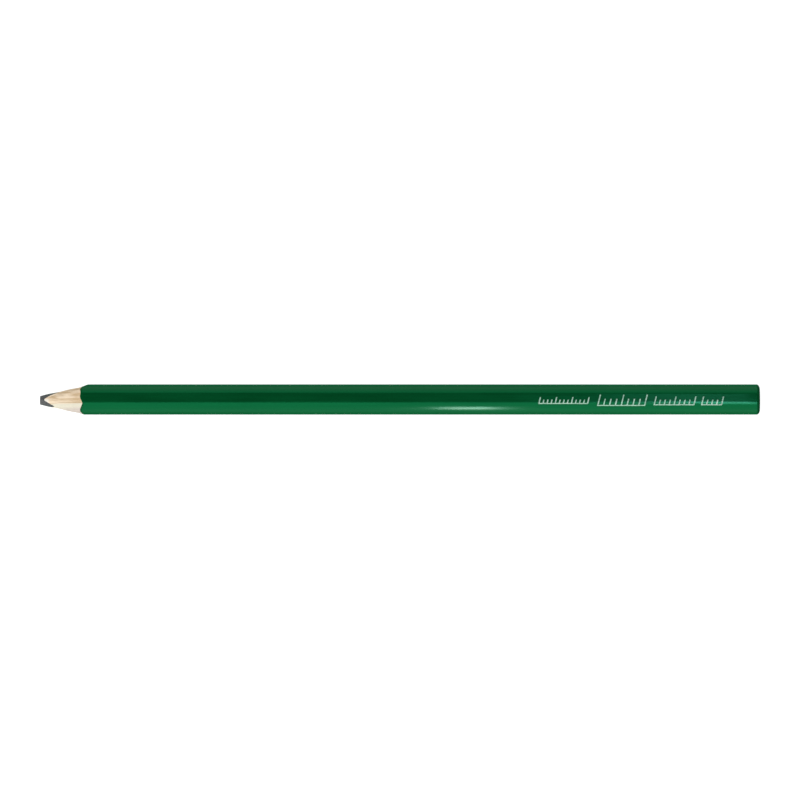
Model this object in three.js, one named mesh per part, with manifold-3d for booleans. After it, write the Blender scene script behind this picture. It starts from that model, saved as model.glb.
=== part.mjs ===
// A carpenter's pencil with a flattened oval body, in millimetres, +Z up.
// It lies on one broad flat: the tip points along -X, the sealed end along +X, and the
// origin is on the ground under the middle of its length. Two wooden slats hold a wide
// rectangular lead between them, and a lacquer coat, a sealed end and foil ticks finish it.
import * as THREE from "three";
import { mergeVertices } from "three/addons/utils/BufferGeometryUtils.js";
import Module from "manifold-3d";

const wasm = await Module();
wasm.setup();

// Body
const LENGTH = 240;
const WIDTH = 10.2;
const THICKNESS = 7;
const FLAT_WIDTH = 2.4;

// A quarter of the section, from the flat round to the side: a tight corner, a nearly flat
// shoulder and a round side. The two turns are the directions of the surface, in degrees
// from the flat, where the shoulder starts and ends.
const CORNER_RADIUS = 2.6;
const CORNER_TURN = 27;
const SHOULDER_TURN = 59;
const SECTION_STEPS = 20;
const FLAT_STEPS = 8;

// Sharpened tip: half the width, half the thickness and the squareness at some distances
// from its nose. A squareness of 2 is an ellipse, and more is squarer. The tip was cut a
// little off the middle, and turned by some degrees about the pencil's axis.
const TIP_STATIONS = [
  { from: -1, halfWidth: 1.17, halfThickness: 0.7, squareness: 1.6 },
  { from: 2.7, halfWidth: 2.17, halfThickness: 1.43, squareness: 1.6 },
  { from: 5.3, halfWidth: 2.65, halfThickness: 2.1, squareness: 2 },
  { from: 6.7, halfWidth: 2.85, halfThickness: 2.3, squareness: 2.2 },
  { from: 9, halfWidth: 3.5, halfThickness: 2.5, squareness: 2.4 },
  { from: 13.4, halfWidth: 4.32, halfThickness: 3.2, squareness: 2.4 },
  { from: 18.4, halfWidth: 6, halfThickness: 5.15, squareness: 2.4 },
];
const TIP_OFFSET_Y = -0.27;
const TIP_TURN = 9;
const TIP_STEPS = 56;
const HALVINGS = 40;

// Lead, slats and the glue between them
const LEAD_WIDTH = 5.2;
const LEAD_THICKNESS = 2.3;
const LEAD_CORNER = 0.8;
const LEAD_CLEARANCE = 0.04;
const GLUE_THICKNESS = 0.1;
const GLUE_CLEARANCE = 0.03;

// Lacquer
const COAT_THICKNESS = 0.16;
const COAT_CLEARANCE = 0.04;
const DIP_LENGTH = 1.4;
const DIP_CAP = 0.4;
const DIP_SEAM = 0.05;
const RIM_RADIUS = 1.1;
const RIM_STEPS = 6;

// Foil ticks pressed into the coat. Each scale starts at a distance from the nose and
// leans towards the sealed end.
const FOIL_SCALES = [
  { name: "foil_scale_fine", start: 166, ticks: 13, pitch: 1.35, low: -2.1, high: 0.2 },
  { name: "foil_scale_coarse", start: 185.6, ticks: 9, pitch: 1.95, low: -2.7, high: 1 },
  { name: "foil_scale_middle", start: 204.4, ticks: 9, pitch: 1.65, low: -2.5, high: 0.4 },
  { name: "foil_scale_short", start: 220.2, ticks: 5, pitch: 1.65, low: -2.5, high: 0.4 },
];
const TICK_STROKE = 0.42;
const TICK_LEAN = 0.25;
const SHORT_TICK = 0.62;
const TICKS_PER_LONG_ONE = 4;
const RAIL_STROKE = 0.3;
const FOIL_TOP = 0.02;
const FOIL_BOTTOM = 0.07;
const RECESS_BOTTOM = 0.09;
const RECESS_CLEARANCE = 0.03;

// Worked out
const HALF_WIDTH = WIDTH / 2;
const HALF_THICKNESS = THICKNESS / 2;
const HALF_FLAT = FLAT_WIDTH / 2;
const NOSE_X = -LENGTH / 2;
const END_X = LENGTH / 2;
const DIP_X = END_X - DIP_LENGTH;
const WOOD_END_X = END_X - DIP_CAP - COAT_CLEARANCE;
const WOOD_INSET = COAT_THICKNESS + COAT_CLEARANCE;
const BEYOND = 1;

const COLORS = {
  wood: 0xe6c9a0,
  lead: 0x4d4f50,
  glue: 0xd8c8a0,
  lacquer: 0x0a5a30,
  foil: 0xa8d4bc,
};

// The radii of the shoulder and of the side that close the quarter section on its width and
// thickness, from two equations that are linear in them.
function solveRadii() {
  const corner = THREE.MathUtils.degToRad(CORNER_TURN);
  const shoulder = THREE.MathUtils.degToRad(SHOULDER_TURN);
  const shoulderAcross = Math.sin(shoulder) - Math.sin(corner);
  const shoulderDown = Math.cos(corner) - Math.cos(shoulder);
  const sideAcross = 1 - Math.sin(shoulder);
  const sideDown = Math.cos(shoulder);
  const across = HALF_WIDTH - HALF_FLAT - CORNER_RADIUS * Math.sin(corner);
  const down = HALF_THICKNESS - CORNER_RADIUS * (1 - Math.cos(corner));
  const scale = shoulderAcross * sideDown - sideAcross * shoulderDown;
  return {
    shoulder: (across * sideDown - sideAcross * down) / scale,
    side: (shoulderAcross * down - across * shoulderDown) / scale,
  };
}

// The point of the quarter section where its outward normal makes this angle with +Y,
// moved inwards by inset.
function sectionPoint(angle, inset, radii) {
  const sideEnd = Math.PI / 2 - THREE.MathUtils.degToRad(SHOULDER_TURN);
  const shoulderEnd = Math.PI / 2 - THREE.MathUtils.degToRad(CORNER_TURN);
  const arcs = [
    { radius: radii.side, from: 0, to: sideEnd },
    { radius: radii.shoulder, from: sideEnd, to: shoulderEnd },
    { radius: CORNER_RADIUS, from: shoulderEnd, to: Math.PI / 2 },
  ];
  const point = new THREE.Vector2(HALF_WIDTH, 0);
  for (const arc of arcs) {
    const to = Math.min(angle, arc.to);
    if (to > arc.from) {
      point.x += arc.radius * (Math.cos(to) - Math.cos(arc.from));
      point.y += arc.radius * (Math.sin(to) - Math.sin(arc.from));
    }
  }
  point.x -= inset * Math.cos(angle);
  point.y -= inset * Math.sin(angle);
  return point;
}

// The closed section as points across (x) and up (y) from the pencil's axis, with each
// broad flat divided into flatSteps.
function bodySection(inset, flatSteps = 1) {
  const radii = solveRadii();
  const quarter = [];
  for (let step = 0; step <= SECTION_STEPS; step += 1) {
    quarter.push(sectionPoint((step / SECTION_STEPS) * (Math.PI / 2), inset, radii));
  }
  const mirrored = quarter.map((point) => new THREE.Vector2(-point.x, point.y)).reverse();
  const flat = [];
  for (let step = 1; step < flatSteps; step += 1) {
    flat.push(quarter.at(-1).clone().lerp(mirrored[0], step / flatSteps));
  }
  const upper = [...quarter, ...flat, ...mirrored];
  const lower = upper.slice(1, -1).map((point) => new THREE.Vector2(point.x, -point.y));
  return [...upper, ...lower.reverse()];
}

function tipSection({ halfWidth, halfThickness, squareness }) {
  const centre = new THREE.Vector2(TIP_OFFSET_Y, 0);
  const turn = THREE.MathUtils.degToRad(TIP_TURN);
  const points = [];
  for (let step = 0; step < TIP_STEPS; step += 1) {
    const angle = (step / TIP_STEPS) * 2 * Math.PI;
    const across = Math.cos(angle);
    const up = Math.sin(angle);
    const power = 2 / squareness;
    const point = new THREE.Vector2(
      halfWidth * Math.sign(across) * Math.abs(across) ** power,
      halfThickness * Math.sign(up) * Math.abs(up) ** power,
    );
    points.push(point.add(centre).rotateAround(centre, turn));
  }
  return points;
}

// The tip's measures at a distance from its nose, between two stations.
function tipAt(from) {
  const next = TIP_STATIONS.findIndex((station) => station.from >= from);
  const beyond = TIP_STATIONS[next];
  const before = TIP_STATIONS[next - 1];
  const share = (from - before.from) / (beyond.from - before.from);
  const between = (measure) => THREE.MathUtils.lerp(before[measure], beyond[measure], share);
  return {
    halfWidth: between("halfWidth"),
    halfThickness: between("halfThickness"),
    squareness: between("squareness"),
  };
}

function isOutsideTip(from, point) {
  const centre = new THREE.Vector2(TIP_OFFSET_Y, 0);
  const turn = THREE.MathUtils.degToRad(TIP_TURN);
  const turned = point.clone().rotateAround(centre, -turn).sub(centre);
  const { halfWidth, halfThickness, squareness } = tipAt(from);
  const across = Math.abs(turned.x / halfWidth) ** squareness;
  const up = Math.abs(turned.y / halfThickness) ** squareness;
  return across + up > 1;
}

// The X at which the widening tip reaches a point of the section.
function cutX(point) {
  let near = 0;
  let far = TIP_STATIONS.at(-1).from;
  for (let halving = 0; halving < HALVINGS; halving += 1) {
    const middle = (near + far) / 2;
    if (isOutsideTip(middle, point)) {
      near = middle;
    } else {
      far = middle;
    }
  }
  return NOSE_X + far;
}

// A section's points placed in space, each at the X that placeX gives for it.
function ring(section, placeX) {
  return section.map((point) => [placeX(point), point.x, point.y + HALF_THICKNESS]);
}

// The faces between two rings that start at these places in the list of points.
function bandFaces(here, there, count) {
  const faces = [];
  for (let corner = 0; corner < count; corner += 1) {
    const beside = (corner + 1) % count;
    faces.push(here + corner, here + beside, there + corner);
    faces.push(here + beside, there + beside, there + corner);
  }
  return faces;
}

function indexedSolid(points, index) {
  const geometry = new THREE.BufferGeometry();
  geometry.setAttribute("position", new THREE.Float32BufferAttribute(points.flat(), 3));
  geometry.setIndex(index);
  return toSolid(geometry);
}

// A closed body through stations along X, each with the same number of section points.
function loft(stations) {
  const count = stations[0].section.length;
  const points = stations.flatMap((station) => ring(station.section, () => station.x));
  const last = points.length - count;
  const index = [];
  for (let here = 0; here < last; here += count) {
    index.push(...bandFaces(here, here + count, count));
  }
  for (let corner = 1; corner + 1 < count; corner += 1) {
    index.push(0, corner + 1, corner);
    index.push(last, last + corner, last + corner + 1);
  }
  return indexedSolid(points, index);
}

// A tube whose wall is the loop through these rings.
function tube(rings) {
  const count = rings[0].length;
  const points = rings.flat();
  const index = [];
  for (let here = 0; here < points.length; here += count) {
    index.push(...bandFaces(here, (here + count) % points.length, count));
  }
  return indexedSolid(points, index);
}

// A section swept straight along X between two places.
function prism(section, fromX, toX) {
  const geometry = new THREE.ExtrudeGeometry(new THREE.Shape(section), {
    depth: toX - fromX,
    bevelEnabled: false,
  });
  const across = new THREE.Vector3(0, 1, 0);
  const up = new THREE.Vector3(0, 0, 1);
  const along = new THREE.Vector3(1, 0, 0);
  geometry.applyMatrix4(new THREE.Matrix4().makeBasis(across, up, along));
  geometry.translate(fromX, 0, HALF_THICKNESS);
  return toSolid(geometry);
}

function block(fromX, toX, fromY, toY, fromZ, toZ) {
  const geometry = new THREE.BoxGeometry(toX - fromX, toY - fromY, toZ - fromZ);
  geometry.translate((fromX + toX) / 2, (fromY + toY) / 2, (fromZ + toZ) / 2);
  return toSolid(geometry);
}

function toSolid(geometry) {
  geometry.deleteAttribute("normal");
  geometry.deleteAttribute("uv");
  const merged = mergeVertices(geometry);
  const mesh = new wasm.Mesh({
    numProp: 3,
    vertProperties: new Float32Array(merged.attributes.position.array),
    triVerts: new Uint32Array(merged.index.array),
  });
  mesh.merge();
  return new wasm.Manifold(mesh);
}

function toMesh(name, solid, material) {
  const { vertProperties, triVerts } = solid.getMesh();
  const geometry = new THREE.BufferGeometry();
  geometry.setAttribute("position", new THREE.BufferAttribute(vertProperties, 3));
  geometry.setIndex(new THREE.BufferAttribute(triVerts, 1));
  geometry.computeVertexNormals();
  const mesh = new THREE.Mesh(geometry, material);
  mesh.name = name;
  return mesh;
}

// Everything that the sharpener leaves: the tip, and the whole body behind it.
function sharpenedSpace() {
  const stations = TIP_STATIONS.map((station) => ({
    x: NOSE_X + station.from,
    section: tipSection(station),
  }));
  const last = TIP_STATIONS.at(-1);
  const behind = block(
    NOSE_X + last.from - BEYOND,
    END_X + BEYOND,
    -WIDTH,
    WIDTH,
    -BEYOND,
    THICKNESS + BEYOND,
  );
  const nose = block(NOSE_X - 2 * BEYOND, NOSE_X, -WIDTH, WIDTH, -BEYOND, THICKNESS);
  return loft(stations).add(behind).subtract(nose);
}

function leadSection(clearance) {
  const halfWidth = LEAD_WIDTH / 2 + clearance;
  const halfThickness = LEAD_THICKNESS / 2 + clearance;
  const corner = LEAD_CORNER + clearance;
  const shape = new THREE.Shape();
  shape.moveTo(halfWidth, corner - halfThickness);
  shape.absarc(halfWidth - corner, halfThickness - corner, corner, 0, Math.PI / 2);
  shape.absarc(corner - halfWidth, halfThickness - corner, corner, Math.PI / 2, Math.PI);
  shape.absarc(corner - halfWidth, corner - halfThickness, corner, Math.PI, 1.5 * Math.PI);
  shape.absarc(halfWidth - corner, corner - halfThickness, corner, 1.5 * Math.PI, 2 * Math.PI);
  const points = shape.getPoints(4);
  return points.filter((point, place) => place === 0 || point.distanceTo(points[place - 1]) > 1e-6);
}

function makeLead(space) {
  return prism(leadSection(0), NOSE_X - BEYOND, WOOD_END_X).intersect(space);
}

// One of the two slats. Side is 1 for the upper one and -1 for the lower one.
function makeSlat(space, side) {
  const gap = GLUE_THICKNESS / 2 + GLUE_CLEARANCE;
  const nearZ = HALF_THICKNESS + side * gap;
  const farZ = HALF_THICKNESS + side * THICKNESS;
  const half = block(
    NOSE_X - BEYOND,
    END_X,
    -WIDTH,
    WIDTH,
    Math.min(nearZ, farZ),
    Math.max(nearZ, farZ),
  );
  const groove = prism(leadSection(LEAD_CLEARANCE), NOSE_X - 2 * BEYOND, END_X + BEYOND);
  return makeWoodBody().intersect(half).subtract(groove).intersect(space);
}

function makeWoodBody() {
  return loft(endStations(WOOD_INSET, NOSE_X - BEYOND, WOOD_END_X));
}

// Stations of a body that is straight up to a rounded rim at its +X end.
function endStations(inset, fromX, toX) {
  const rim = RIM_RADIUS - (END_X - toX);
  const stations = [{ x: fromX, section: bodySection(inset) }];
  for (let step = 0; step <= RIM_STEPS; step += 1) {
    const angle = (step / RIM_STEPS) * (Math.PI / 2);
    stations.push({
      x: toX - rim * (1 - Math.sin(angle)),
      section: bodySection(inset + rim * (1 - Math.cos(angle))),
    });
  }
  return stations;
}

// A film of glue on one side of the lead. Side is 1 for +Y and -1 for -Y.
function makeGlueLine(space, side) {
  const nearY = side * (LEAD_WIDTH / 2 + 2 * LEAD_CLEARANCE);
  const film = block(
    NOSE_X,
    WOOD_END_X - RIM_RADIUS,
    Math.min(nearY, side * WIDTH),
    Math.max(nearY, side * WIDTH),
    HALF_THICKNESS - GLUE_THICKNESS / 2,
    HALF_THICKNESS + GLUE_THICKNESS / 2,
  );
  return makeWoodBody().intersect(film).intersect(space);
}

// The outline of a scale seen from above: a rail with leaning ticks on it.
function scaleOutline(scale, clearance) {
  const startX = NOSE_X + scale.start;
  const endX = startX + (scale.ticks - 1) * scale.pitch + TICK_STROKE;
  const railTop = scale.low + RAIL_STROKE + clearance;
  const points = [
    new THREE.Vector2(startX - clearance, scale.low - clearance),
    new THREE.Vector2(endX + clearance, scale.low - clearance),
    new THREE.Vector2(endX + clearance, railTop),
  ];
  for (let tick = scale.ticks - 1; tick >= 0; tick -= 1) {
    const share = tick % TICKS_PER_LONG_ONE === 0 ? 1 : SHORT_TICK;
    const height = (scale.high - scale.low) * share + clearance;
    const left = startX + tick * scale.pitch - clearance;
    const right = left + TICK_STROKE + 2 * clearance;
    const rise = railTop - scale.low;
    points.push(new THREE.Vector2(right + TICK_LEAN * rise, railTop));
    points.push(new THREE.Vector2(right + TICK_LEAN * height, scale.low + height));
    points.push(new THREE.Vector2(left + TICK_LEAN * height, scale.low + height));
    points.push(new THREE.Vector2(left + TICK_LEAN * rise, railTop));
  }
  points.push(new THREE.Vector2(startX - clearance, railTop));
  return points;
}

// The scale's outline as a tall body through the upper half of the pencil.
function scaleColumn(scale, clearance) {
  const geometry = new THREE.ExtrudeGeometry(new THREE.Shape(scaleOutline(scale, clearance)), {
    depth: HALF_THICKNESS + BEYOND,
    bevelEnabled: false,
  });
  geometry.translate(0, 0, HALF_THICKNESS);
  return toSolid(geometry);
}

// The skin of the body between two depths, over the length that carries the foil.
function skin(outerInset, innerInset) {
  const fromX = NOSE_X + FOIL_SCALES[0].start - BEYOND;
  const outer = prism(bodySection(outerInset), fromX, DIP_X);
  return outer.subtract(prism(bodySection(innerInset), fromX - BEYOND, DIP_X + BEYOND));
}

function makeFoil(scale) {
  return scaleColumn(scale, 0).intersect(skin(FOIL_TOP, FOIL_BOTTOM));
}

// The coat starts where the sharpener left it, so its front edge runs back at the corners.
function makeSleeve() {
  const outer = bodySection(0, FLAT_STEPS);
  const inner = bodySection(COAT_THICKNESS, FLAT_STEPS);
  const backX = DIP_X - DIP_SEAM;
  return tube([
    ring(outer, cutX),
    ring(outer, () => backX),
    ring(inner, () => backX),
    ring(inner, cutX),
  ]);
}

function makeCoat() {
  const recess = skin(-BEYOND, RECESS_BOTTOM);
  let coat = makeSleeve();
  for (const scale of FOIL_SCALES) {
    coat = coat.subtract(scaleColumn(scale, RECESS_CLEARANCE).intersect(recess));
  }
  return coat;
}

function makeEndDip() {
  const outer = loft(endStations(0, DIP_X, END_X));
  const inner = loft(endStations(COAT_THICKNESS, DIP_X - BEYOND, END_X - DIP_CAP));
  return outer.subtract(inner);
}

function material(color, roughness, metalness) {
  return new THREE.MeshStandardMaterial({ color, roughness, metalness });
}

function makePencil() {
  const wood = material(COLORS.wood, 0.7, 0);
  const lead = material(COLORS.lead, 0.45, 0.2);
  const glue = material(COLORS.glue, 0.6, 0);
  const lacquer = material(COLORS.lacquer, 0.25, 0);
  const foil = material(COLORS.foil, 0.35, 0.6);
  const space = sharpenedSpace();
  const pencil = new THREE.Group();
  pencil.add(toMesh("slat_upper", makeSlat(space, 1), wood));
  pencil.add(toMesh("slat_lower", makeSlat(space, -1), wood));
  pencil.add(toMesh("lead_core", makeLead(space), lead));
  pencil.add(toMesh("glue_line_rear", makeGlueLine(space, 1), glue));
  pencil.add(toMesh("glue_line_front", makeGlueLine(space, -1), glue));
  pencil.add(toMesh("lacquer_coat", makeCoat(), lacquer));
  pencil.add(toMesh("end_dip", makeEndDip(), lacquer));
  for (const scale of FOIL_SCALES) {
    pencil.add(toMesh(scale.name, makeFoil(scale), foil));
  }
  return pencil;
}

export default makePencil();
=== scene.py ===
"""A carpenter's pencil: fine meshes, materials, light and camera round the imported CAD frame.

The pencil lies along X with its tip towards -X. Lengths are in millimetres until a mesh is
made, places along the pencil are distances from the nose, and a section's points are given
across (Y) and up (Z) from the pencil's axis. An inset is a distance in from the body's side.
"""
import math

import bpy
import numpy as np
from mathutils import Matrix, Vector


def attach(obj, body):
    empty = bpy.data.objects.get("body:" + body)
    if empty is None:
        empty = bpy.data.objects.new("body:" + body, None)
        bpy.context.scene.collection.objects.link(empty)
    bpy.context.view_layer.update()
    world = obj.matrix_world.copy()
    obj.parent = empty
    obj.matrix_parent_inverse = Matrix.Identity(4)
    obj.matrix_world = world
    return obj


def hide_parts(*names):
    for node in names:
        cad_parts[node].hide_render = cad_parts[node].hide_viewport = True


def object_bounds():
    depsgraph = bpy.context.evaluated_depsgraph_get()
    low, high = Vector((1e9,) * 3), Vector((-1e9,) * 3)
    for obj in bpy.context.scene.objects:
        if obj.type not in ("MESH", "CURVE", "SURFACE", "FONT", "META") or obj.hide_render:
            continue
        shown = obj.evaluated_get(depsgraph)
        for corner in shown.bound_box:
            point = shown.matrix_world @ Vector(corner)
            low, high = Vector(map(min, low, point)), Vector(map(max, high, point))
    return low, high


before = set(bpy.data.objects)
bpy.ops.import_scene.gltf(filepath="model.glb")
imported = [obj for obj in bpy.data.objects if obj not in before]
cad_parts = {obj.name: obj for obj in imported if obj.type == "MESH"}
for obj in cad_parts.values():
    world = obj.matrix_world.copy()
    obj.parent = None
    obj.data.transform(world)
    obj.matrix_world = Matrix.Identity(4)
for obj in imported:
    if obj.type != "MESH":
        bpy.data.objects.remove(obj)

CAD_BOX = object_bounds()
MM = 0.001
RIGHT_TURN = math.pi / 2
FULL_TURN = 2 * math.pi

# Body
NOSE_X = CAD_BOX[0].x / MM
LENGTH = CAD_BOX[1].x / MM - NOSE_X
WIDTH = (CAD_BOX[1].y - CAD_BOX[0].y) / MM
THICKNESS = (CAD_BOX[1].z - CAD_BOX[0].z) / MM
AXIS_Z = THICKNESS / 2
FLAT_WIDTH = 2.4
CORNER_RADIUS = 2.6
CORNER_TURN = math.radians(27)
SHOULDER_TURN = math.radians(59)
ARC_STEPS = 36
FLAT_STEPS = 12
SMOOTH_TURN = math.radians(35)

# Sharpened tip: sizes and turns at some distances from the nose. Its middle line runs a
# little to one side of the body's, and a squareness of 2 is an ellipse.
TIP_FROM = (-1, 2.7, 5.3, 6.7, 9, 13.4, 18.4, 23)
TIP_HALF_WIDTH = (1.17, 2.17, 2.62, 2.85, 3.5, 4.32, 6.3, 8.2)
TIP_HALF_THICKNESS = (0.7, 1.43, 2.1, 2.3, 2.5, 3.2, 5.15, 7)
TIP_SQUARENESS = (1.6, 1.6, 2, 2.2, 2.4, 2.4, 2.4, 2.4)
TIP_TURN = np.radians((4, 0, 0, 4, 8.5, 9, 9, 9))
TIP_OFFSET_Y = -0.27
TIP_BLEND = 1.4
BLEND_STEPS = 15
TIP_PLACES = np.linspace(0, 22, 881)

# Lacquer
COAT = 0.16
COAT_GAP = 0.02
FRONT_RUN = 6
FRONT_SHARES = (0, 0.02, 0.05, 0.1, 0.2, 0.35, 0.55, 0.8)
FRONT_INSET = 0.03
FRONT_FALL = 30
STRAIGHT_FROM = 26
STRAIGHT_RINGS = 60
BACK_RUN = 0.2
BACK_INSET = 0.01
INSIDE_BACK_RUN = 20
INSIDE_PLACE = 40
INSIDE_FRONT_RUN = 0.3
CUT_HOLLOW = 0.02

# Dipped end. Each step of its edge has a distance behind the seam and an inset.
DIP_LENGTH = 1.4
DIP_SEAM = 0.004
DIP_EDGE = ((0.15, 0), (0.02, 0.002), (0, 0.01), (0, COAT))
RIM_LENGTH = 1.1
RIM_DEPTH = 1.7
RIM_STEPS = 12
CUP_ROUND = 0.1
DIP_CAP = 0.4
DOME = 0.05
DOME_SHARES = (0.04, 0.3, 0.6, 0.85)
CAP_SHARE = 0.05

# Lead. Each step of its worn edge has a place and a share of the nose's size.
LEAD_WIDTH = 5.2
LEAD_THICKNESS = 2.3
LEAD_SQUARENESS = 5
LEAD_OUTLINE_STEPS = 2000
LEAD_COLUMNS = 360
LEAD_SINK = 0.02
LEAD_CUT_SHARES = np.linspace(0.05, 1, 40)
LEAD_BAR_PLACES = (30, 120)
WORN_LENGTH = 0.16
WORN_FACE = 0.012
WORN_FACE_SHARES = (0.1, 0.4, 0.7, 0.9)
WORN_EDGE = ((0.03, 0.965), (0.09, 0.995))

# Wood and glue
CORE_GAP = 0.05
CORE_END = LENGTH - DIP_CAP - CORE_GAP
WOOD_GAP = 0.03
SLAT_GAP = 0.06
SLAT_COLUMNS = 220
SLAT_CUT_SHARES = np.linspace(0, 1, 48)
SLAT_BODY_SHARES = (0.004, 0.02, 0.2, 0.6, 0.985)
SLAT_END_SHARE = 0.9
GLUE_HALF = 0.05
GLUE_INSET = 0.01
GLUE_START = 0.03
GLUE_GAP = 1
GLUE_END = LENGTH - DIP_CAP - GLUE_GAP
GLUE_STEPS = 40

# Foil. Each scale has a name, a place, a count and pitch of ticks, and its reach across.
FOIL_SCALES = (
    ("foil_scale_fine", 166.0, 13, 1.35, -2.1, 0.2),
    ("foil_scale_coarse", 185.6, 9, 1.95, -2.7, 1.0),
    ("foil_scale_middle", 204.4, 9, 1.65, -2.5, 0.4),
    ("foil_scale_short", 220.2, 5, 1.65, -2.5, 0.4),
)
TICK_STROKE = 0.42
TICK_LEAN = 0.25
SHORT_TICK = 0.62
TICKS_PER_LONG_ONE = 4
RAIL_STROKE = 0.3
FOIL_LIFT = 0.008
FOIL_THICKNESS = 0.03
FOIL_EDGE_SHARE = 0.3
FOIL_SQUARENESS = 8
FOIL_SMOOTH_TURN = math.radians(60)
STROKE_ROWS = np.linspace(0, 1, 14)
STROKE_COLUMNS = np.linspace(0, 1, 7)

# Looks. A grain counts features to a millimetre along X, Y and Z. The lacquer's colours are
# linear, and the others are display colours from 0 to 255. A side is a span of Y and a run is
# a span of X, in millimetres. Most values of a noise lie in its span.
NOISE_SPAN = (0.3, 0.7)
LACQUER_TINT = (0.03, 1.0, 0.36, 1.0)
LACQUER_DEEP = (0.0006, 0.053, 0.0135, 1)
LACQUER_PALE = (0.0010, 0.066, 0.0175, 1)
LACQUER_CLOUD = (0.05, 0.4, 0.4)
LACQUER_LINES = (0.015, 4.5, 4.5)
LACQUER_PEEL = (0.9, 1.6, 1.6)
WOOD_GRAIN = (0.045, 1.1, 0.8)
WOOD_FIBRE = (0.25, 9.0, 9.0)
WOOD_TAN = (216, 188, 150)
WOOD_PEACH = (252, 232, 204)
# Painted light: the wood is made paler towards -Y, the side the light comes from.
WOOD_PAINTED_LIGHT = (234, 228, 207)
WOOD_PAINTED_LIGHT_SIDE = (-1.5, -2.0)
# Painted shade: the wood is greyed at its -Y edge, where its surface turns away from the light.
WOOD_PAINTED_SHADE = (215, 203, 192)
WOOD_PAINTED_SHADE_SIDE = (-2.4, -3.9)
# Painted highlight: a near-white patch on the thin wood by the nose, standing in for the light
# that edge catches.
WOOD_PAINTED_HIGHLIGHT = (246, 240, 228)
WOOD_PAINTED_HIGHLIGHT_RUN = (NOSE_X + 3.6, NOSE_X + 2.2)
WOOD_PAINTED_HIGHLIGHT_SIDE = (0.2, -0.4)
WOOD_SHADE = (0.9, 1.0)
GROWTH_LINE = (190, 165, 128)
GROWTH_LINE_SHARE = 0.45
GROWTH_LINE_SIDE = (-1.7, -1.1)
GROWTH_LINE_FADE = (0.22, 0.02)
GROWTH_LINE_WANDER = (0.12, 0.2, 0.2)
LEAD_DARK = (72, 74, 75)
LEAD_RUBBED = (112, 114, 114)
LEAD_STREAK = (0.5, 7.0, 7.0)
LEAD_GRIT = (12, 12, 12)
GLUE_DARK = (196, 172, 128)
GLUE_PALE = (220, 200, 160)
GLUE_CLOUD = (0.6, 3, 3)
FOIL_WORN = (132, 176, 155)
FOIL_BRIGHT = (168, 208, 188)
FOIL_WEAR = (1.4, 2.2, 2.2)

# Camera
CAMERA_DISTANCE = 3.0
CAMERA_ELEVATION = math.radians(80)
AIM_Y = -0.17
FRAME_SHARE = 0.9

# Studio. A fade runs between two values of one part of the direction that is looked in.
WHITE = (1, 1, 1, 1)
FLOOR_GREY = (0.2, 0.2, 0.2, 1)
FLOOR_SIZE = 8
FLOOR_DROP = 0.00005
DARK_TURN = math.radians(12)
DARK_HALF = math.radians(14)
DARK_FADE = math.radians(10)
DARK_GLOW = 0.02
REAR_FADE = (-0.3, 0.5)
WALL_GLOW = (1.05, 0.6)
BELOW_FADE = (0.1, -0.4)
BELOW_GLOW = (0.4, 0.38)
BELOW_COLOR = (0.2, 1.0, 0.62, 1)
ENDS_FADE = (0.15, 0.5)
ENDS_GLOW = 0.2
GLINTS = {
    "front_softbox": {
        "place": 143,
        "turn": math.radians(-38.4),
        "size": (0.017, 0.03),
        "power": 0.0103,
        "color": (1.0, 0.12, 0.25),
        "distance": 0.1,
    },
    "top_softbox": {
        "place": 233,
        "turn": math.radians(-11),
        "size": (0.03, 0.23),
        "power": 0.038,
        "color": (1.0, 0.34, 0.61),
        "distance": 0.3,
    },
}
GLINT_SPREAD = math.radians(60)
KEY_FROM = Vector((-0.45, -0.25, 0.86))
KEY_ANGLE = math.radians(50)
KEY_STRENGTH = 2.2


def arc_radii():
    """The radii of the shoulder and the side that close a quarter of the section."""
    corner, shoulder = CORNER_TURN, SHOULDER_TURN
    matrix = [
        [math.sin(shoulder) - math.sin(corner), 1 - math.sin(shoulder)],
        [math.cos(corner) - math.cos(shoulder), math.cos(shoulder)],
    ]
    target = [
        WIDTH / 2 - FLAT_WIDTH / 2 - CORNER_RADIUS * math.sin(corner),
        THICKNESS / 2 - CORNER_RADIUS * (1 - math.cos(corner)),
    ]
    return np.linalg.solve(matrix, target)


def quarter_section():
    """Normal angle from +Y, and the point there, for one quarter: side, shoulder, corner."""
    shoulder_radius, side_radius = arc_radii()
    angle = np.linspace(0, RIGHT_TURN, ARC_STEPS)
    across = np.full(ARC_STEPS, WIDTH / 2)
    up = np.zeros(ARC_STEPS)
    for radius, start, end in (
        (side_radius, 0, RIGHT_TURN - SHOULDER_TURN),
        (shoulder_radius, RIGHT_TURN - SHOULDER_TURN, RIGHT_TURN - CORNER_TURN),
        (CORNER_RADIUS, RIGHT_TURN - CORNER_TURN, RIGHT_TURN),
    ):
        turned = np.clip(angle, start, end)
        across += radius * (np.cos(turned) - math.cos(start))
        up += radius * (np.sin(turned) - math.sin(start))
    return angle, across, up


def body_section():
    """The whole closed section: normal angle, across and up, from +Y round over +Z."""
    angle, across, up = quarter_section()
    flat = np.linspace(across[-1], -across[-1], FLAT_STEPS + 2)[1:-1]
    right = np.full(FLAT_STEPS, RIGHT_TURN)
    upper_angle = np.concatenate([angle, right, math.pi - angle[::-1]])
    upper_across = np.concatenate([across, flat, -across[::-1]])
    upper_up = np.concatenate([up, np.full(FLAT_STEPS, up[-1]), up[::-1]])
    lower = slice(1, -1)
    return (
        np.concatenate([upper_angle, (upper_angle + math.pi)[lower]]),
        np.concatenate([upper_across, -upper_across[lower]]),
        np.concatenate([upper_up, -upper_up[lower]]),
    )


SECTION_ANGLE, SECTION_ACROSS, SECTION_UP = body_section()


def inset_section(inset):
    """The body's section moved inwards along its normals."""
    across = SECTION_ACROSS - inset * np.cos(SECTION_ANGLE)
    up = SECTION_UP - inset * np.sin(SECTION_ANGLE)
    return across, up


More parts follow.
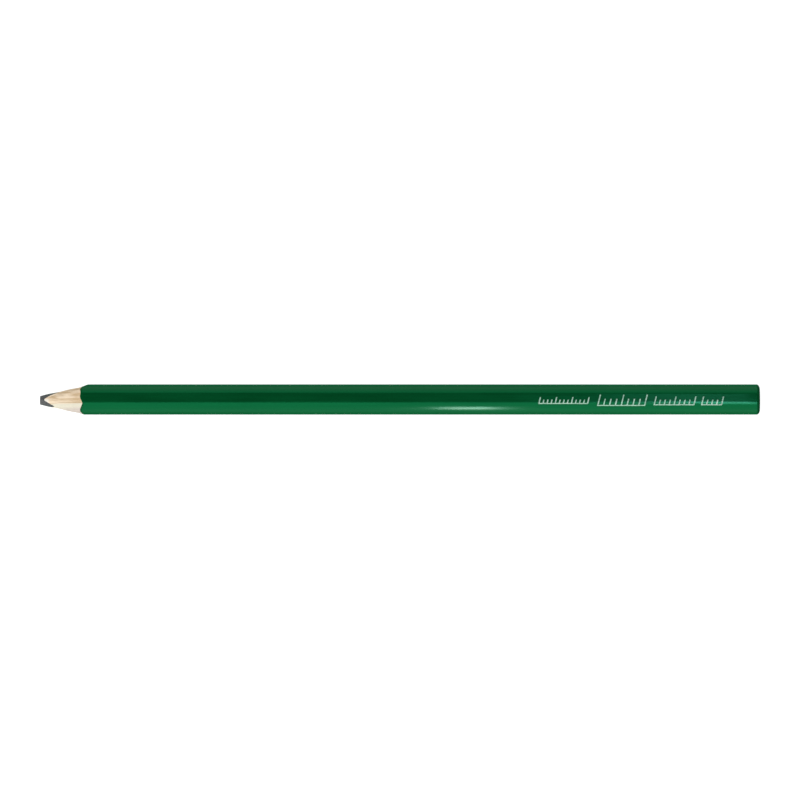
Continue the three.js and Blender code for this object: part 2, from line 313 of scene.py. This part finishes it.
def tip_value(values, place):
    """A size of the sharpened tip at each place, with its stations blended smoothly."""
    shifts = np.linspace(-TIP_BLEND, TIP_BLEND, BLEND_STEPS)
    weights = 1 + np.cos(np.pi * shifts / TIP_BLEND)
    place = np.asarray(place, float)
    total = sum(w * np.interp(place + d, TIP_FROM, values) for w, d in zip(weights, shifts))
    return total / weights.sum()


def tip_measure_at(place, local_across, local_up):
    """The same as tip_measure, for points in the tip's own turned axes."""
    wide = np.abs(local_across) / tip_value(TIP_HALF_WIDTH, place)
    thick = np.abs(local_up) / tip_value(TIP_HALF_THICKNESS, place)
    square = tip_value(TIP_SQUARENESS, place)
    return wide**square + thick**square


def tip_measure(place, across, up):
    """Below 1 where the point lies inside the sharpened shape at that place."""
    away, turn = across - TIP_OFFSET_Y, tip_value(TIP_TURN, place)
    local_across = away * np.cos(turn) + up * np.sin(turn)
    local_up = up * np.cos(turn) - away * np.sin(turn)
    return tip_measure_at(place, local_across, local_up)


def tip_radius(place, angle):
    """The sharpened shape's radius about its own middle, in a direction from +Y."""
    local = angle - tip_value(TIP_TURN, place)
    measure = tip_measure_at(place, np.cos(local), np.sin(local))
    return measure ** (-1 / tip_value(TIP_SQUARENESS, place))


def place_where_inside(across, up):
    """How far from the nose the sharpener's cut reaches each point of a section."""
    found = []
    for y, z in zip(across, up):
        found.append(np.interp(0, 1 - tip_measure(TIP_PLACES, y, z), TIP_PLACES))
    return np.array(found)


def place_where_radius(angle, radius):
    """How far from the nose the sharpened shape grows to each radius."""
    found = [np.interp(r, tip_radius(TIP_PLACES, a), TIP_PLACES) for a, r in zip(angle, radius)]
    return np.array(found)


def radius_of_outline(angle, across, up):
    """The radius, about the tip's middle, of a closed outline in each direction."""
    away = across - TIP_OFFSET_Y
    direction = np.arctan2(up, away) % FULL_TURN
    order = np.argsort(direction)
    return np.interp(angle, direction[order], np.hypot(away, up)[order], period=FULL_TURN)


def lead_radius(angle, margin):
    """The radius, about the tip's middle, of the lead's rounded rectangle."""
    turn = np.linspace(0, FULL_TURN, LEAD_OUTLINE_STEPS, endpoint=False)
    power = 2 / LEAD_SQUARENESS
    across = np.sign(np.cos(turn)) * np.abs(np.cos(turn)) ** power * (LEAD_WIDTH / 2 + margin)
    up = np.sign(np.sin(turn)) * np.abs(np.sin(turn)) ** power * (LEAD_THICKNESS / 2 + margin)
    return radius_of_outline(angle, across, up)


def to_frame(place, across, up):
    """Points in metres in the CAD frame."""
    place, across, up = np.broadcast_arrays(place, across, up)
    x = (NOSE_X + place) * MM
    return np.stack([x, across * MM, (up + AXIS_Z) * MM], axis=-1)


def round_tip(place, angle, radius):
    """Points in metres at each radius about the tip's middle."""
    return to_frame(place, TIP_OFFSET_Y + radius * np.cos(angle), radius * np.sin(angle))


def make_piece(name, points, faces, smooth_turn=SMOOTH_TURN):
    """An object with its faces turned outwards, smooth wherever it bends by less than a turn."""
    mesh = bpy.data.meshes.new(name)
    mesh.from_pydata([tuple(p) for p in points], [], faces)
    mesh.validate()
    piece = bpy.data.objects.new(name, mesh)
    bpy.context.scene.collection.objects.link(piece)
    bpy.context.view_layer.objects.active = piece
    piece.select_set(True)
    bpy.ops.object.mode_set(mode="EDIT")
    bpy.ops.mesh.select_all(action="SELECT")
    bpy.ops.mesh.normals_make_consistent(inside=False)
    bpy.ops.object.mode_set(mode="OBJECT")
    bpy.ops.object.shade_smooth_by_angle(angle=smooth_turn)
    piece.select_set(False)
    return piece


def rings_to_faces(rings, count, joined):
    """Quads between consecutive closed rings of count points, and from last to first if joined."""
    faces = []
    for ring in range(rings if joined else rings - 1):
        here, there = ring * count, (ring + 1) % rings * count
        for corner in range(count):
            beside = (corner + 1) % count
            faces.append((here + corner, here + beside, there + beside, there + corner))
    return faces


def closed_by_rings(name, rings, capped):
    """A closed piece from rings: a torus of rings, or a run of rings with both ends capped."""
    count = len(rings[0])
    points = np.concatenate(rings)
    faces = rings_to_faces(len(rings), count, joined=not capped)
    if capped:
        first, last = len(points), len(points) + 1
        points = np.concatenate([points, [rings[0].mean(0)], [rings[-1].mean(0)]])
        offset = (len(rings) - 1) * count
        for corner in range(count):
            beside = (corner + 1) % count
            faces.append((first, beside, corner))
            faces.append((last, offset + corner, offset + beside))
    return make_piece(name, points, faces)


def coat_outside(front, back):
    """Rings of the lacquer's outside. It rounds down at its front edge and at the dipped end."""
    rings = []
    for share in FRONT_SHARES:
        section = inset_section(FRONT_INSET * (1 - share) ** FRONT_FALL)
        rings.append(to_frame(front + share * FRONT_RUN, *section))
    for place in np.linspace(STRAIGHT_FROM, back - BACK_RUN, STRAIGHT_RINGS):
        rings.append(to_frame(place, *inset_section(0)))
    rings.append(to_frame(back, *inset_section(BACK_INSET)))
    return rings


def make_coat():
    """The lacquer sleeve: outside, back edge, inside and cut front edge."""
    outer, inner = inset_section(0), inset_section(COAT)
    outer_front = place_where_inside(*outer)
    inner_front = place_where_inside(*inner)
    back = LENGTH - DIP_LENGTH - DIP_SEAM
    rings = coat_outside(outer_front, back)
    inside_front = inner_front + INSIDE_FRONT_RUN
    for place in (back, back - INSIDE_BACK_RUN, INSIDE_PLACE, inside_front, inner_front):
        rings.append(to_frame(place, *inner))
    middle = inset_section(COAT / 2 + CUT_HOLLOW)
    rings.append(to_frame((outer_front + inner_front) / 2, *middle))
    return closed_by_rings("lacquer_coat_fine", rings, capped=False)


def dip_outside():
    """Rings of the sealed end's faintly domed face and rounded rim."""
    rings = []
    across, up = inset_section(RIM_DEPTH)
    for share in DOME_SHARES:
        dome = DOME * (1 - share**2)
        rings.append(to_frame(LENGTH - DOME + dome, across * share, up * share))
    for turn in np.linspace(0, RIGHT_TURN, RIM_STEPS):
        inset = RIM_DEPTH * (1 - math.sin(turn))
        place = LENGTH - DOME - RIM_LENGTH * (1 - math.cos(turn))
        rings.append(to_frame(place, *inset_section(inset)))
    return rings


def make_end_dip():
    """The sealed end: a cup with a rounded rim and a faintly domed face."""
    rings = dip_outside()
    start = LENGTH - DIP_LENGTH
    for behind, inset in DIP_EDGE:
        rings.append(to_frame(start + behind, *inset_section(inset)))
    rings.append(to_frame(LENGTH - RIM_LENGTH - CUP_ROUND, *inset_section(COAT)))
    across, up = inset_section(RIM_DEPTH + COAT)
    for share in (1, CAP_SHARE):
        rings.append(to_frame(LENGTH - DIP_CAP, across * share, up * share))
    return closed_by_rings("end_dip_fine", rings, capped=True)


def make_lead():
    """The lead: a worn nose, the sharpened faces and the bar inside the wood."""
    angle = np.linspace(0, FULL_TURN, LEAD_COLUMNS, endpoint=False)
    bar = lead_radius(angle, 0)
    leaves = place_where_radius(angle, bar)
    nose = tip_radius(0, angle)
    rings = [round_tip(WORN_FACE * share, angle, nose * share) for share in WORN_FACE_SHARES]
    rings += [round_tip(place, angle, nose * share) for place, share in WORN_EDGE]
    for share in LEAD_CUT_SHARES:
        place = np.maximum(leaves * share, WORN_LENGTH)
        rings.append(round_tip(place, angle, tip_radius(place, angle) - LEAD_SINK))
    for place in (*LEAD_BAR_PLACES, CORE_END):
        rings.append(round_tip(place, angle, bar - LEAD_SINK))
    return closed_by_rings("lead_fine", rings, capped=True)


def slat_angles(side):
    """Directions of a slat's columns, from the seam on one side over to the other."""
    seam = math.atan2(SLAT_GAP, LEAD_WIDTH / 2 + abs(TIP_OFFSET_Y))
    return side * np.linspace(seam, math.pi - seam, SLAT_COLUMNS)


def slat_rows(angle, start):
    """Place and outer radius of a slat's rows, from the lead over the cut to the sealed end."""
    body = radius_of_outline(angle, *inset_section(COAT + COAT_GAP))
    paint = place_where_radius(angle, body)
    rows = []
    for share in SLAT_CUT_SHARES:
        place = start + share * (paint - start)
        rows.append((place, tip_radius(place, angle)))
    for share in SLAT_BODY_SHARES:
        rows.append((paint + share * (CORE_END - paint), body))
    rows.append((np.full_like(paint, CORE_END), body * SLAT_END_SHARE))
    return rows


def slat_faces(rows, columns):
    """Quads round a slat: its outer rows, the same number of inner rows, and its two seams."""
    count = 2 * rows
    faces = []
    for row in range(count):
        here, there = row * columns, (row + 1) % count * columns
        for column in range(columns - 1):
            faces.append((here + column, here + column + 1, there + column + 1, there + column))
    for column in (0, columns - 1):
        for row in range(rows - 1):
            corners = (row, row + 1, count - row - 2, count - row - 1)
            faces.append(tuple(corner * columns + column for corner in corners))
    return faces


def make_slat(name, side):
    """One slat, sharpened and grooved. Side is 1 for the upper one and -1 for the lower one."""
    angle = slat_angles(side)
    hollow = lead_radius(angle, WOOD_GAP)
    rows = slat_rows(angle, place_where_radius(angle, hollow))
    outer = [round_tip(place, angle, radius) for place, radius in rows]
    inner = [round_tip(place, angle, hollow) for place, _ in reversed(rows)]
    return make_piece(name, np.concatenate(outer + inner), slat_faces(len(rows), SLAT_COLUMNS))


def make_glue(name, side):
    """The thin film of glue on one side of the lead. Side is 1 for +Y and -1 for -Y."""
    direction = 0 if side > 0 else math.pi
    edge = tip_radius(TIP_PLACES, direction) + side * TIP_OFFSET_Y
    near = LEAD_WIDTH / 2 + WOOD_GAP
    inside_coat = WIDTH / 2 - COAT - COAT_GAP
    start = np.interp(near, edge, TIP_PLACES) + GLUE_START
    bare = np.linspace(start, np.interp(inside_coat, edge, TIP_PLACES), GLUE_STEPS)
    rings = []
    for place in (*bare, LENGTH / 2, GLUE_END):
        far = min(np.interp(place, TIP_PLACES, edge), inside_coat) - GLUE_INSET
        across = side * np.array([near, far, far, near])
        up = GLUE_HALF * np.array([-1, -1, 1, 1])
        rings.append(to_frame(place, across, up))
    return closed_by_rings(name, rings, capped=True)


def on_top(across, lift):
    """The point over this place across the upper half, lifted along the surface's normal."""
    upper = SECTION_UP > 0
    order = np.argsort(SECTION_ACROSS[upper])
    known = SECTION_ACROSS[upper][order]
    up = np.interp(across, known, SECTION_UP[upper][order])
    angle = np.interp(across, known, SECTION_ANGLE[upper][order])
    return across + lift * np.cos(angle), up + lift * np.sin(angle)


def stroke_grids(start, end, low, high, foot):
    """Upper and lower side of a patch of foil on the body. It leans as it rises from foot."""
    rows = low + (high - low) * STROKE_ROWS
    columns = start + (end - start) * STROKE_COLUMNS
    place = columns[None, :] + TICK_LEAN * (rows[:, None] - foot)
    across = np.broadcast_to(rows[:, None], place.shape)
    pillow = 1 - (2 * STROKE_COLUMNS - 1) ** FOIL_SQUARENESS
    lift = FOIL_LIFT * (FOIL_EDGE_SHARE + (1 - FOIL_EDGE_SHARE) * pillow)
    top = to_frame(place, *on_top(across, lift))
    bottom = to_frame(place, *on_top(across, -FOIL_THICKNESS))
    return top, bottom


def patch_border(rows, columns):
    """Numbers of a grid's border points, once round it."""
    border = [(0, column) for column in range(columns)]
    border += [(row, columns - 1) for row in range(1, rows)]
    border += [(rows - 1, column) for column in range(columns - 2, -1, -1)]
    border += [(row, 0) for row in range(rows - 2, 0, -1)]
    return [row * columns + column for row, column in border]


def patch_faces(rows, columns, start):
    """Faces of a closed patch whose top grid comes first and its bottom grid second."""
    below = rows * columns
    faces = []
    for row in range(rows - 1):
        for column in range(columns - 1):
            first = start + row * columns + column
            face = (first, first + 1, first + columns + 1, first + columns)
            faces.append(face)
            faces.append(tuple(below + corner for corner in reversed(face)))
    ids = [start + corner for corner in patch_border(rows, columns)]
    for here, there in zip(ids, ids[1:] + ids[:1]):
        faces.append((here, here + below, there + below, there))
    return faces


def make_foil(name, start, ticks, pitch, low, high):
    """One scale of leaning ticks on a rail."""
    end = start + (ticks - 1) * pitch + TICK_STROKE
    strokes = [stroke_grids(start, end, low, low + RAIL_STROKE, low)]
    for tick in range(ticks):
        share = 1 if tick % TICKS_PER_LONG_ONE == 0 else SHORT_TICK
        left = start + tick * pitch
        reach = low + (high - low) * share
        foot = low + RAIL_STROKE / 2
        strokes.append(stroke_grids(left, left + TICK_STROKE, foot, reach, low))
    points, faces = [], []
    for top, bottom in strokes:
        rows, columns = top.shape[:2]
        faces += patch_faces(rows, columns, len(points))
        points += [*top.reshape(-1, 3), *bottom.reshape(-1, 3)]
    return make_piece(name + "_fine", points, faces, FOIL_SMOOTH_TURN)


class Graph:
    """Short calls that add nodes to a material's or the world's tree."""

    def __init__(self, tree):
        self.tree = tree
        self.points = None

    def node(self, kind, inputs=(), **settings):
        """A new node with its settings and some of its sockets filled."""
        made = self.tree.nodes.new(kind)
        for setting, value in settings.items():
            setattr(made, setting, value)
        for socket, value in dict(inputs).items():
            self.feed(made.inputs[socket], value)
        return made

    def feed(self, socket, value):
        """Links another node's output to a socket, or stores a plain value in it."""
        if isinstance(value, bpy.types.NodeSocket):
            self.tree.links.new(value, socket)
        else:
            socket.default_value = value

    def place(self, scale=(1, 1, 1)):
        """Object coordinates in millimetres, scaled."""
        if self.points is None:
            self.points = self.node("ShaderNodeTexCoord").outputs["Object"]
        inputs = {"Vector": self.points, "Scale": [s / MM for s in scale]}
        return self.node("ShaderNodeMapping", inputs).outputs["Vector"]

    def place_parts(self):
        """Millimetres along, across and up in the CAD frame, as the outputs X, Y and Z."""
        return self.node("ShaderNodeSeparateXYZ", {"Vector": self.place()}).outputs

    def noise(self, scale, detail=2.0, roughness=0.5, distortion=0.0):
        """Noise with this many features to a millimetre along each axis."""
        inputs = {
            "Vector": self.place(scale),
            "Scale": 1.0,
            "Detail": detail,
            "Roughness": roughness,
            "Distortion": distortion,
        }
        return self.node("ShaderNodeTexNoise", inputs).outputs["Fac"]

    def spread(self, value, span, to=(0.0, 1.0), kind="SMOOTHSTEP"):
        """The value carried over from one span to another, and held at the ends."""
        inputs = {
            "Value": value,
            "From Min": span[0],
            "From Max": span[1],
            "To Min": to[0],
            "To Max": to[1],
        }
        made = self.node("ShaderNodeMapRange", inputs, interpolation_type=kind)
        return made.outputs["Result"]

    def calculate(self, operation, first, second=0):
        """One step of maths."""
        made = self.node("ShaderNodeMath", operation=operation)
        self.feed(made.inputs[0], first)
        self.feed(made.inputs[1], second)
        return made.outputs[0]

    def away(self, value, middle):
        """How far a value is from a middle, on either side."""
        return self.calculate("ABSOLUTE", self.calculate("SUBTRACT", value, middle))

    def mix(self, share, first, second, blend="MIX"):
        """The first colour with this share of the second laid over it."""
        made = self.node("ShaderNodeMix", data_type="RGBA", blend_type=blend)
        factor = made.inputs["Factor"]
        colours = [socket for socket in made.inputs if socket.type == "RGBA"]
        for socket, value in zip((factor, *colours), (share, first, second)):
            self.feed(socket, value)
        return next(socket for socket in made.outputs if socket.type == "RGBA")

    def bump(self, height, depth, normal=None):
        """A bump whose full height is this many millimetres deep."""
        inputs = {"Height": height, "Strength": 1.0, "Distance": depth * MM}
        if normal is not None:
            inputs["Normal"] = normal
        return self.node("ShaderNodeBump", inputs).outputs["Normal"]


def linear(display):
    """A display colour, from 0 to 255, as the linear colour that shaders use: the sRGB curve."""
    def one(value):
        value /= 255
        return value / 12.92 if value <= 0.04045 else ((value + 0.055) / 1.055) ** 2.4

    return (*map(one, display), 1.0)


def new_material(name, constants):
    """A material, its graph and its shader, whose even values are set on its own sockets."""
    material = bpy.data.materials.new(name)
    material.use_nodes = True
    shader = material.node_tree.nodes["Principled BSDF"]
    for socket, value in constants.items():
        shader.inputs[socket].default_value = value
    return material, Graph(material.node_tree), shader


def lacquer_material():
    """Green pigmented lacquer: a tinted gloss, faint drawing lines and orange peel."""
    constants = {
        "Specular IOR Level": 1.0,
        "Specular Tint": LACQUER_TINT,
        "Coat Weight": 0.03,
        "Coat Roughness": 0.15,
    }
    material, graph, shader = new_material("green_lacquer_fine", constants)
    cloud = graph.noise(LACQUER_CLOUD, detail=3)
    lines = graph.noise(LACQUER_LINES, detail=2)
    depth = graph.spread(graph.calculate("ADD", cloud, lines), (0.7, 1.3))
    graph.feed(shader.inputs["Base Color"], graph.mix(depth, LACQUER_DEEP, LACQUER_PALE))
    rough = graph.spread(cloud, NOISE_SPAN, to=(0.17, 0.24))
    graph.feed(shader.inputs["Roughness"], rough)
    peel = graph.bump(graph.noise(LACQUER_PEEL, detail=1), depth=0.004)
    graph.feed(shader.inputs["Normal"], graph.bump(lines, depth=0.0012, normal=peel))
    return material


def wood_colour(graph, grain, fibre):
    """Grain in two tones and one dark growth line, with painted light making it paler towards -Y,
    painted shade greying it at the -Y edge, and a painted highlight on the thin edge near the
    nose.
    """
    place = graph.place_parts()
    tone = graph.spread(grain, (0.35, 0.62))
    colour = graph.mix(tone, linear(WOOD_TAN), linear(WOOD_PEACH))
    # Painted light: paler towards -Y, where the wood faces the light.
    pale = graph.spread(place["Y"], WOOD_PAINTED_LIGHT_SIDE)
    colour = graph.mix(pale, colour, linear(WOOD_PAINTED_LIGHT))
    # Painted shade: greyer at the -Y edge, where the surface turns away from the light.
    grey = graph.spread(place["Y"], WOOD_PAINTED_SHADE_SIDE)
    colour = graph.mix(grey, colour, linear(WOOD_PAINTED_SHADE))
    wander = graph.spread(graph.noise(GROWTH_LINE_WANDER), (0, 1), GROWTH_LINE_SIDE, "LINEAR")
    from_line = graph.away(place["Y"], wander)
    line = graph.spread(from_line, GROWTH_LINE_FADE, to=(0, GROWTH_LINE_SHARE))
    colour = graph.mix(line, colour, linear(GROWTH_LINE))
    # Painted highlight: a near-white patch on the thin wood next to the nose.
    near_nose = graph.spread(place["X"], WOOD_PAINTED_HIGHLIGHT_RUN)
    highlight_side = graph.spread(place["Y"], WOOD_PAINTED_HIGHLIGHT_SIDE)
    thin = graph.calculate("MULTIPLY", near_nose, highlight_side)
    colour = graph.mix(thin, colour, linear(WOOD_PAINTED_HIGHLIGHT))
    shade = graph.spread(fibre, NOISE_SPAN, to=WOOD_SHADE)
    return graph.mix(1.0, colour, shade, blend="MULTIPLY")


def wood_material():
    """Bare cased wood with long grain and fine fibres."""
    material, graph, shader = new_material("bare_wood_fine", {"Specular IOR Level": 0.25})
    grain = graph.noise(WOOD_GRAIN, detail=3, roughness=0.55, distortion=0.3)
    fibre = graph.noise(WOOD_FIBRE, detail=2)
    graph.feed(shader.inputs["Base Color"], wood_colour(graph, grain, fibre))
    rough = graph.spread(fibre, (0.2, 0.8), to=(0.55, 0.75))
    graph.feed(shader.inputs["Roughness"], rough)
    relief = graph.bump(grain, depth=0.05)
    graph.feed(shader.inputs["Normal"], graph.bump(fibre, depth=0.03, normal=relief))
    return material


def lead_material():
    """Graphite: a dark grey with a soft metallic sheen and fine rubbed streaks."""
    constants = {"Metallic": 0.25, "Specular IOR Level": 0.6}
    material, graph, shader = new_material("graphite_fine", constants)
    streak = graph.noise(LEAD_STREAK, detail=3)
    rubbed = graph.spread(streak, NOISE_SPAN)
    colour = graph.mix(rubbed, linear(LEAD_DARK), linear(LEAD_RUBBED))
    graph.feed(shader.inputs["Base Color"], colour)
    rough = graph.spread(streak, NOISE_SPAN, to=(0.34, 0.55))
    graph.feed(shader.inputs["Roughness"], rough)
    grit = graph.bump(graph.noise(LEAD_GRIT, detail=2), depth=0.006)
    graph.feed(shader.inputs["Normal"], graph.bump(streak, depth=0.02, normal=grit))
    return material


def glue_material():
    """Dried wood glue in a cloudy tan."""
    material, graph, shader = new_material("glue_fine", {"Roughness": 0.5})
    cloud = graph.noise(GLUE_CLOUD)
    colour = graph.mix(cloud, linear(GLUE_DARK), linear(GLUE_PALE))
    graph.feed(shader.inputs["Base Color"], colour)
    return material


def foil_material():
    """Hot-stamped foil: pale mint metal, slightly worn."""
    constants = {"Metallic": 0.15, "Specular IOR Level": 0.3}
    material, graph, shader = new_material("pale_foil_fine", constants)
    wear = graph.noise(FOIL_WEAR, detail=3)
    bright = graph.spread(wear, (0.35, 0.6))
    colour = graph.mix(bright, linear(FOIL_WORN), linear(FOIL_BRIGHT))
    graph.feed(shader.inputs["Base Color"], colour)
    rough = graph.spread(wear, NOISE_SPAN, to=(0.6, 0.45))
    graph.feed(shader.inputs["Roughness"], rough)
    graph.feed(shader.inputs["Normal"], graph.bump(wear, depth=0.004))
    return material


def finish_piece(piece, material, slot, *nodes):
    """Gives a piece its material, hangs it on the root body, and hides the CAD nodes it stands
    for.
    """
    piece.data.materials.append(material)
    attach(piece, "root")
    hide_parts(*nodes)


def make_pencil():
    """Every piece of the pencil."""
    lacquer, wood, lead = lacquer_material(), wood_material(), lead_material()
    glue, foil = glue_material(), foil_material()
    finish_piece(make_coat(), lacquer, "green_lacquer", "lacquer_coat")
    finish_piece(make_end_dip(), lacquer, "green_lacquer", "end_dip")
    finish_piece(make_lead(), lead, "graphite", "lead_core")
    finish_piece(make_slat("slat_upper_fine", 1), wood, "bare_wood", "slat_upper")
    finish_piece(make_slat("slat_lower_fine", -1), wood, "bare_wood", "slat_lower")
    finish_piece(make_glue("glue_rear_fine", 1), glue, "glue", "glue_line_rear")
    finish_piece(make_glue("glue_front_fine", -1), glue, "glue", "glue_line_front")
    for scale in FOIL_SCALES:
        finish_piece(make_foil(*scale), foil, "pale_foil", scale[0])


def make_floor():
    """A pale light table."""
    bpy.ops.mesh.primitive_plane_add(size=FLOOR_SIZE, location=(0, 0, CAD_BOX[0].z - FLOOR_DROP))
    floor = bpy.context.object
    floor.name = "light_table"
    floor.visible_glossy = False
    constants = {
        "Base Color": FLOOR_GREY,
        "Roughness": 1.0,
        "Specular IOR Level": 0.0,
        "Emission Color": WHITE,
        "Emission Strength": 1.0,
    }
    material, _, _ = new_material("light_table", constants)
    floor.data.materials.append(material)


def make_world():
    """Pale walls, brighter towards -Y and dim at the ends, under a dark ceiling, over green."""
    world = bpy.data.worlds.new("studio")
    bpy.context.scene.world = world
    world.use_nodes = True
    graph = Graph(world.node_tree)
    direction = graph.node("ShaderNodeTexCoord").outputs["Generated"]
    toward = graph.node("ShaderNodeSeparateXYZ", {"Vector": direction}).outputs
    from_zenith = graph.calculate("ARCTAN2", toward["Y"], toward["Z"])
    dark = graph.spread(graph.away(from_zenith, DARK_TURN), (DARK_HALF + DARK_FADE, DARK_HALF))
    wall = graph.spread(toward["Y"], REAR_FADE, to=WALL_GLOW)
    below = graph.spread(toward["Y"], REAR_FADE, to=BELOW_GLOW)
    is_below = graph.spread(toward["Z"], BELOW_FADE)
    above_part = graph.calculate("MULTIPLY", wall, graph.calculate("SUBTRACT", 1.0, is_below))
    below_part = graph.calculate("MULTIPLY", below, is_below)
    side = graph.calculate("ADD", above_part, below_part)
    ends = graph.spread(graph.away(toward["X"], 0), ENDS_FADE, to=(1, ENDS_GLOW))
    side = graph.calculate("MULTIPLY", side, ends)
    strength = graph.calculate("MULTIPLY", side, graph.calculate("SUBTRACT", 1.0, dark))
    background = world.node_tree.nodes["Background"]
    graph.feed(background.inputs["Strength"], graph.calculate("ADD", strength, DARK_GLOW))
    graph.feed(background.inputs["Color"], graph.mix(is_below, WHITE, BELOW_COLOR))


def surface_place(place, turn):
    """A point of the body in metres, and its normal, turned from +Z towards +Y."""
    off = (SECTION_ANGLE - (RIGHT_TURN - turn) + math.pi) % FULL_TURN - math.pi
    nearest = np.argmin(np.abs(off))
    point = to_frame(place, SECTION_ACROSS[nearest], SECTION_UP[nearest])
    return Vector(point), Vector((0, math.sin(turn), math.cos(turn)))


def make_glint(name, place, turn, size, power, color, distance):
    """A softbox that the body mirrors to the camera at this place and turn of its surface."""
    point, normal = surface_place(place, turn)
    to_camera = (bpy.context.scene.camera.location - point).normalized()
    mirrored = 2 * to_camera.dot(normal) * normal - to_camera
    light = bpy.data.lights.new(name, "AREA")
    light.shape = "RECTANGLE"
    light.size, light.size_y = size
    light.energy = power
    light.color = color
    light.spread = GLINT_SPREAD
    lamp = bpy.data.objects.new(name, light)
    bpy.context.scene.collection.objects.link(lamp)
    lamp.visible_camera = lamp.visible_diffuse = False
    lamp.location = point + mirrored * distance
    lamp.rotation_euler = mirrored.to_track_quat("Z", "Y").to_euler()


def make_key():
    """A broad soft light from high over the tip, which adds no reflection of its own."""
    light = bpy.data.lights.new("key", "SUN")
    light.energy = KEY_STRENGTH
    light.angle = KEY_ANGLE
    lamp = bpy.data.objects.new("key", light)
    bpy.context.scene.collection.objects.link(lamp)
    lamp.visible_glossy = False
    lamp.rotation_euler = KEY_FROM.to_track_quat("Z", "Y").to_euler()


def make_camera():
    """A long lens nearly overhead, with the pencil level across the picture."""
    data = bpy.data.cameras.new("camera")
    data.lens = data.sensor_width * CAMERA_DISTANCE * FRAME_SHARE / (LENGTH * MM)
    camera = bpy.data.objects.new("camera", data)
    bpy.context.scene.collection.objects.link(camera)
    bpy.context.scene.camera = camera
    back = Vector((0, -math.cos(CAMERA_ELEVATION), math.sin(CAMERA_ELEVATION)))
    aim = Vector((NOSE_X + LENGTH / 2, AIM_Y, AXIS_Z)) * MM
    camera.location = aim + back * CAMERA_DISTANCE
    camera.rotation_euler = back.to_track_quat("Z", "Y").to_euler()


bpy.context.scene.view_settings.view_transform = "Standard"
make_camera()
make_pencil()
make_floor()
make_world()
bpy.context.view_layer.update()
make_key()
for lamp_name, settings in GLINTS.items():
    make_glint(lamp_name, **settings)
